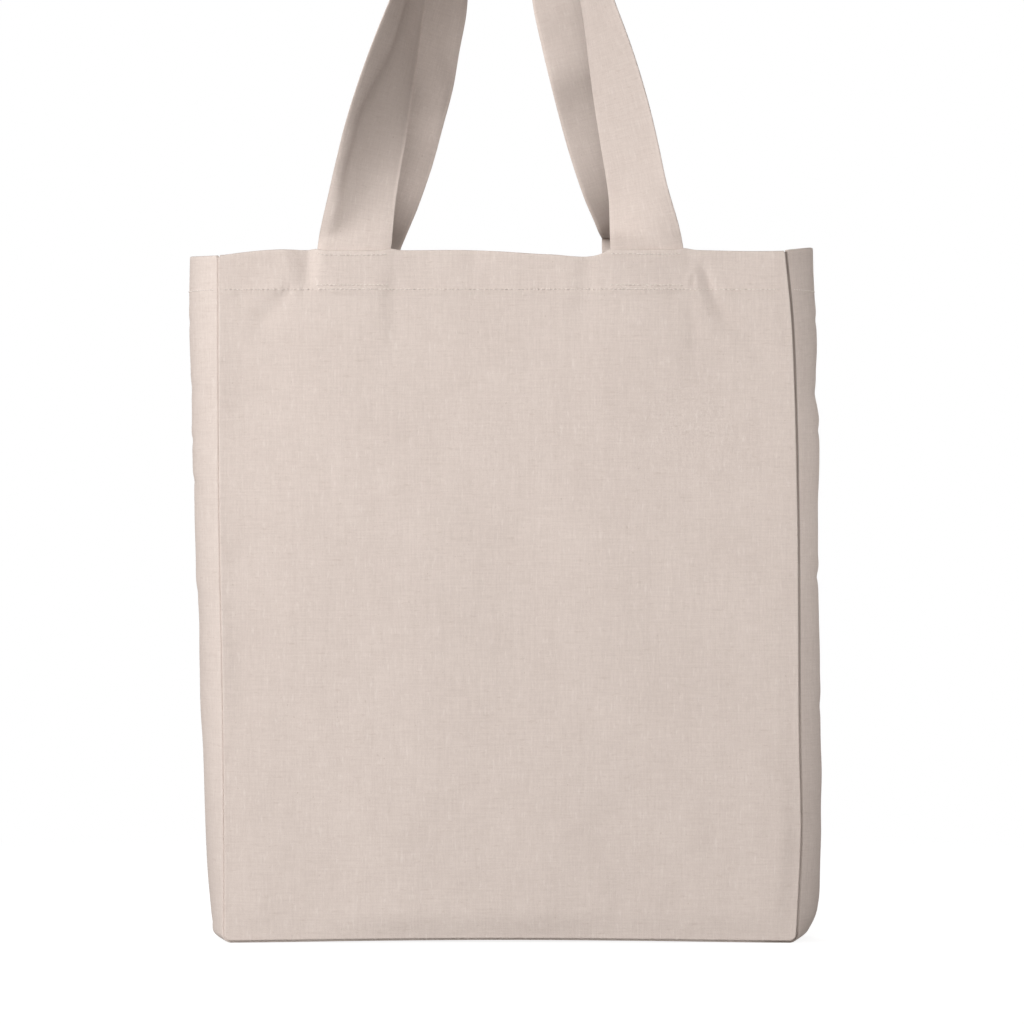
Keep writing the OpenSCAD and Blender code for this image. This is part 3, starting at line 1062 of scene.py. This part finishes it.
def strap_path(foot_in, start, knee, rise, shoulder, top):
    """Curve of a strap's right half, seen from the front, from the rim to the top of the loop."""
    foot, knee_z = STRAP_X - foot_in, BAG_H + start + rise
    return [(foot, BAG_H + start), (STRAP_X - knee, knee_z), (shoulder, top), (0, top)]


front_top, rear_top = FRONT_TOP - STRAP_SOLID_HALF, REAR_TOP - STRAP_SOLID_HALF
front_path = strap_path(0, 0, 14 * MM, 100 * MM, 27 * MM, front_top)
rear_left_path = strap_path(FOOT_IN[1, -1], 0, 40 * MM, 80 * MM, 18 * MM, rear_top)
rear_right_path = strap_path(FOOT_IN[1, 1], 12 * MM, 36.5 * MM, 62 * MM, 22 * MM, rear_top)
front_legs = [
    (front_path, FRONT_LEFT_TWIST, 0),
    (front_path, plain(FRONT_RIGHT_TURN, FRONT_RIGHT_PAINTED_SHADE), 0),
]
rear_legs = [
    (rear_left_path, plain(REAR_LEFT_TURN, REAR_LEFT_PAINTED_SHADE), 0),
    (rear_right_path, plain(REAR_RIGHT_TURN, REAR_RIGHT_PAINTED_SHADE), REAR_RIGHT_KINK),
]
handles = {
    "front": handle_piece("front_strap", -1, front_top, front_legs),
    "rear": handle_piece("rear_strap", 1, rear_top, rear_legs),
}

left_end, right_end = (float(seam_x(s, ROW_Z)) - s * SEAM_GAP for s in (-1, 1))


def rim_row(face):
    return lambda x: rim_z(face, x) - RIM_ROW_DOWN


def follow_both_panels(obj):
    """Bakes the object's placement into its mesh; it is attached to neither panel."""
    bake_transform(obj)


pieces = []
for face, body, seam in ((-1, "bag", front_seam), (1, "rear", rear_seam)):
    end = "front" if face < 0 else "rear"
    rows = [across_panel(face, left_end, right_end, ROW_Z, inside) for inside in (False, True)]
    pieces.append((stitch_piece(end + "_hem_stitches", rows), body, end + "_hem_thread"))
    stitches = stitch_piece(end + "_seam_stitches", [seam], SEAM_PITCH)
    pieces.append((stitches, body, end + "_seam_thread"))
    for side in (-1, 1):
        middle = strap_middle(face, side)
        rows = [
            across_panel(face, middle - STRAP_W / 2, middle + STRAP_W / 2, z, inside)
            for z in (BAR_ROW_Z, rim_row(face)) for inside in (False, True)
        ]
        hand = "left" if side < 0 else "right"
        stitches = stitch_piece(f"{end}_{hand}_bar_stitches", rows)
        pieces.append((stitches, body, f"{end}_{hand}_strap_stitches"))
for side, hand in ((-1, "left"), (1, "right")):
    rows = [across_gusset(side, inside) for inside in (False, True)]
    stitches = stitch_piece(hand + "_gusset_hem_stitches", rows)
    pieces.append((stitches, None, hand + "_gusset_hem_thread"))

for obj, body, node in pieces:
    if body:
        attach(obj, body)
    else:
        follow_both_panels(obj)
    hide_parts(node)

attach(front, "bag")
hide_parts("front_panel", "front_hem")
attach(rear, "rear")
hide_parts("rear_panel", "rear_hem")
follow_both_panels(gusset)
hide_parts("gusset_strip", "left_gusset_hem", "right_gusset_hem")

# Each handle's strap is baked where it stands, and its CAD parts are hidden
for end, face, body in (("front", -1, "bag"), ("rear", 1, "rear")):
    strap, length = handles[end]
    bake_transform(strap)
    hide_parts(end + "_handle", end + "_left_strap_end", end + "_right_strap_end")


# ---- Floor, light and camera ----

# The floor takes a shadow as far as the first distance, and none past the second
SHADOW_NEAR, SHADOW_FAR = 0.25, 0.9
FLOOR_HALF = 6.0
WHITE = (1, 1, 1, 1)


def stage_floor():
    """A white floor that takes a soft shadow near the bag and fades to plain white round it."""
    n = Nodes("floor")
    place = n.node("ShaderNodeTexCoord").outputs["Object"]
    away = n.node("ShaderNodeVectorMath", {0: place}, operation="LENGTH").outputs["Value"]
    near = n.node("ShaderNodeMapRange", {
        "Value": away, "From Min": SHADOW_NEAR, "From Max": SHADOW_FAR,
        "To Min": 1.0, "To Max": 0.0,
    }, interpolation_type="SMOOTHSTEP").outputs[0]
    glow = n.node("ShaderNodeEmission", {"Color": WHITE, "Strength": 0.86})
    matt = n.node("ShaderNodeBsdfDiffuse", {"Color": (0.3, 0.3, 0.3, 1)})
    white = n.node("ShaderNodeEmission", {"Color": WHITE, "Strength": 1.0})
    both = n.node("ShaderNodeAddShader", {0: glow.outputs[0], 1: matt.outputs[0]})
    faded = n.node("ShaderNodeMixShader", {0: near, 1: white.outputs[0], 2: both.outputs[0]})
    corners = np.array([[-1, -1, 0], [1, -1, 0], [1, 1, 0], [-1, 1, 0]]) * FLOOR_HALF
    floor = mesh_object("floor", corners, [[0, 1, 2, 3]], n.end(faded))
    floor.visible_diffuse = False
    floor.visible_glossy = False


def light(name, kind, place, target, power, **settings):
    data = bpy.data.lights.new(name, kind)
    data.energy = power
    for key, value in settings.items():
        setattr(data, key, value)
    obj = bpy.data.objects.new(name, data)
    obj.location = place
    obj.rotation_euler = (Vector(target) - Vector(place)).to_track_quat("-Z", "Y").to_euler()
    bpy.context.scene.collection.objects.link(obj)


AMBIENT = (0.232, 0.221, 0.212, 1)
# Round soft lights, aimed at the middle of the picture: place, size and power
MIDDLE = (0, 0, 0.26)
SOFT_LIGHTS = {
    "key": ((-2.0, -1.15, 0.8), 0.9, 32.5),
    "front_fill": ((-0.28, -2.4, 0.7), 1.2, 28.5),
    "rear_fill": ((-0.4, 2.6, 1.1), 1.6, 42),
}
# Narrow beams that fill the right side and miss the handles: height aimed at, power, angle, blend
SIDE_PLACE = (2.05, -0.3, 0.25)
SIDE_LIGHTS = {"right_side": (0.165, 38, 14, 0.35), "right_top": (0.352, 90, 6, 1.0)}


def studio():
    """Soft light, mostly from the left, and white all round."""
    world = bpy.data.worlds.new("studio")
    bpy.context.scene.world = world
    world.use_nodes = True
    tree = world.node_tree
    tree.nodes.clear()
    seen = tree.nodes.new("ShaderNodeLightPath")
    colour = tree.nodes.new("ShaderNodeMix")
    colour.data_type = "RGBA"
    colour.inputs[6].default_value = AMBIENT
    colour.inputs[7].default_value = WHITE
    sky = tree.nodes.new("ShaderNodeBackground")
    out = tree.nodes.new("ShaderNodeOutputWorld")
    tree.links.new(seen.outputs["Is Camera Ray"], colour.inputs[0])
    tree.links.new(colour.outputs[2], sky.inputs["Color"])
    tree.links.new(sky.outputs[0], out.inputs[0])
    for name, (place, size, power) in SOFT_LIGHTS.items():
        light(name, "AREA", place, MIDDLE, power, shape="DISK", size=size)
    for name, (height, power, angle, blend) in SIDE_LIGHTS.items():
        light(
            name, "SPOT", SIDE_PLACE, (HALF_W, 0, height), power,
            spot_size=math.radians(angle), spot_blend=blend, shadow_soft_size=0.15,
        )
    view = bpy.context.scene.view_settings
    view.view_transform = "Standard"
    view.look = "None"


# The camera's distance from the front panel, and the width and middle of what it sees there
DISTANCE = 2.8
VIEW_WIDTH = 0.589
VIEW_X, VIEW_Z = 0.0046, 0.248
SENSOR = 36


def camera():
    data = bpy.data.cameras.new("camera")
    data.sensor_width = SENSOR
    data.lens = SENSOR * DISTANCE / VIEW_WIDTH
    obj = bpy.data.objects.new("camera", data)
    obj.location = (VIEW_X, FRONT_Y - DISTANCE, VIEW_Z)
    obj.rotation_euler = (math.pi / 2, 0, 0)
    bpy.context.scene.collection.objects.link(obj)
    bpy.context.scene.camera = obj


stage_floor()
studio()
camera()
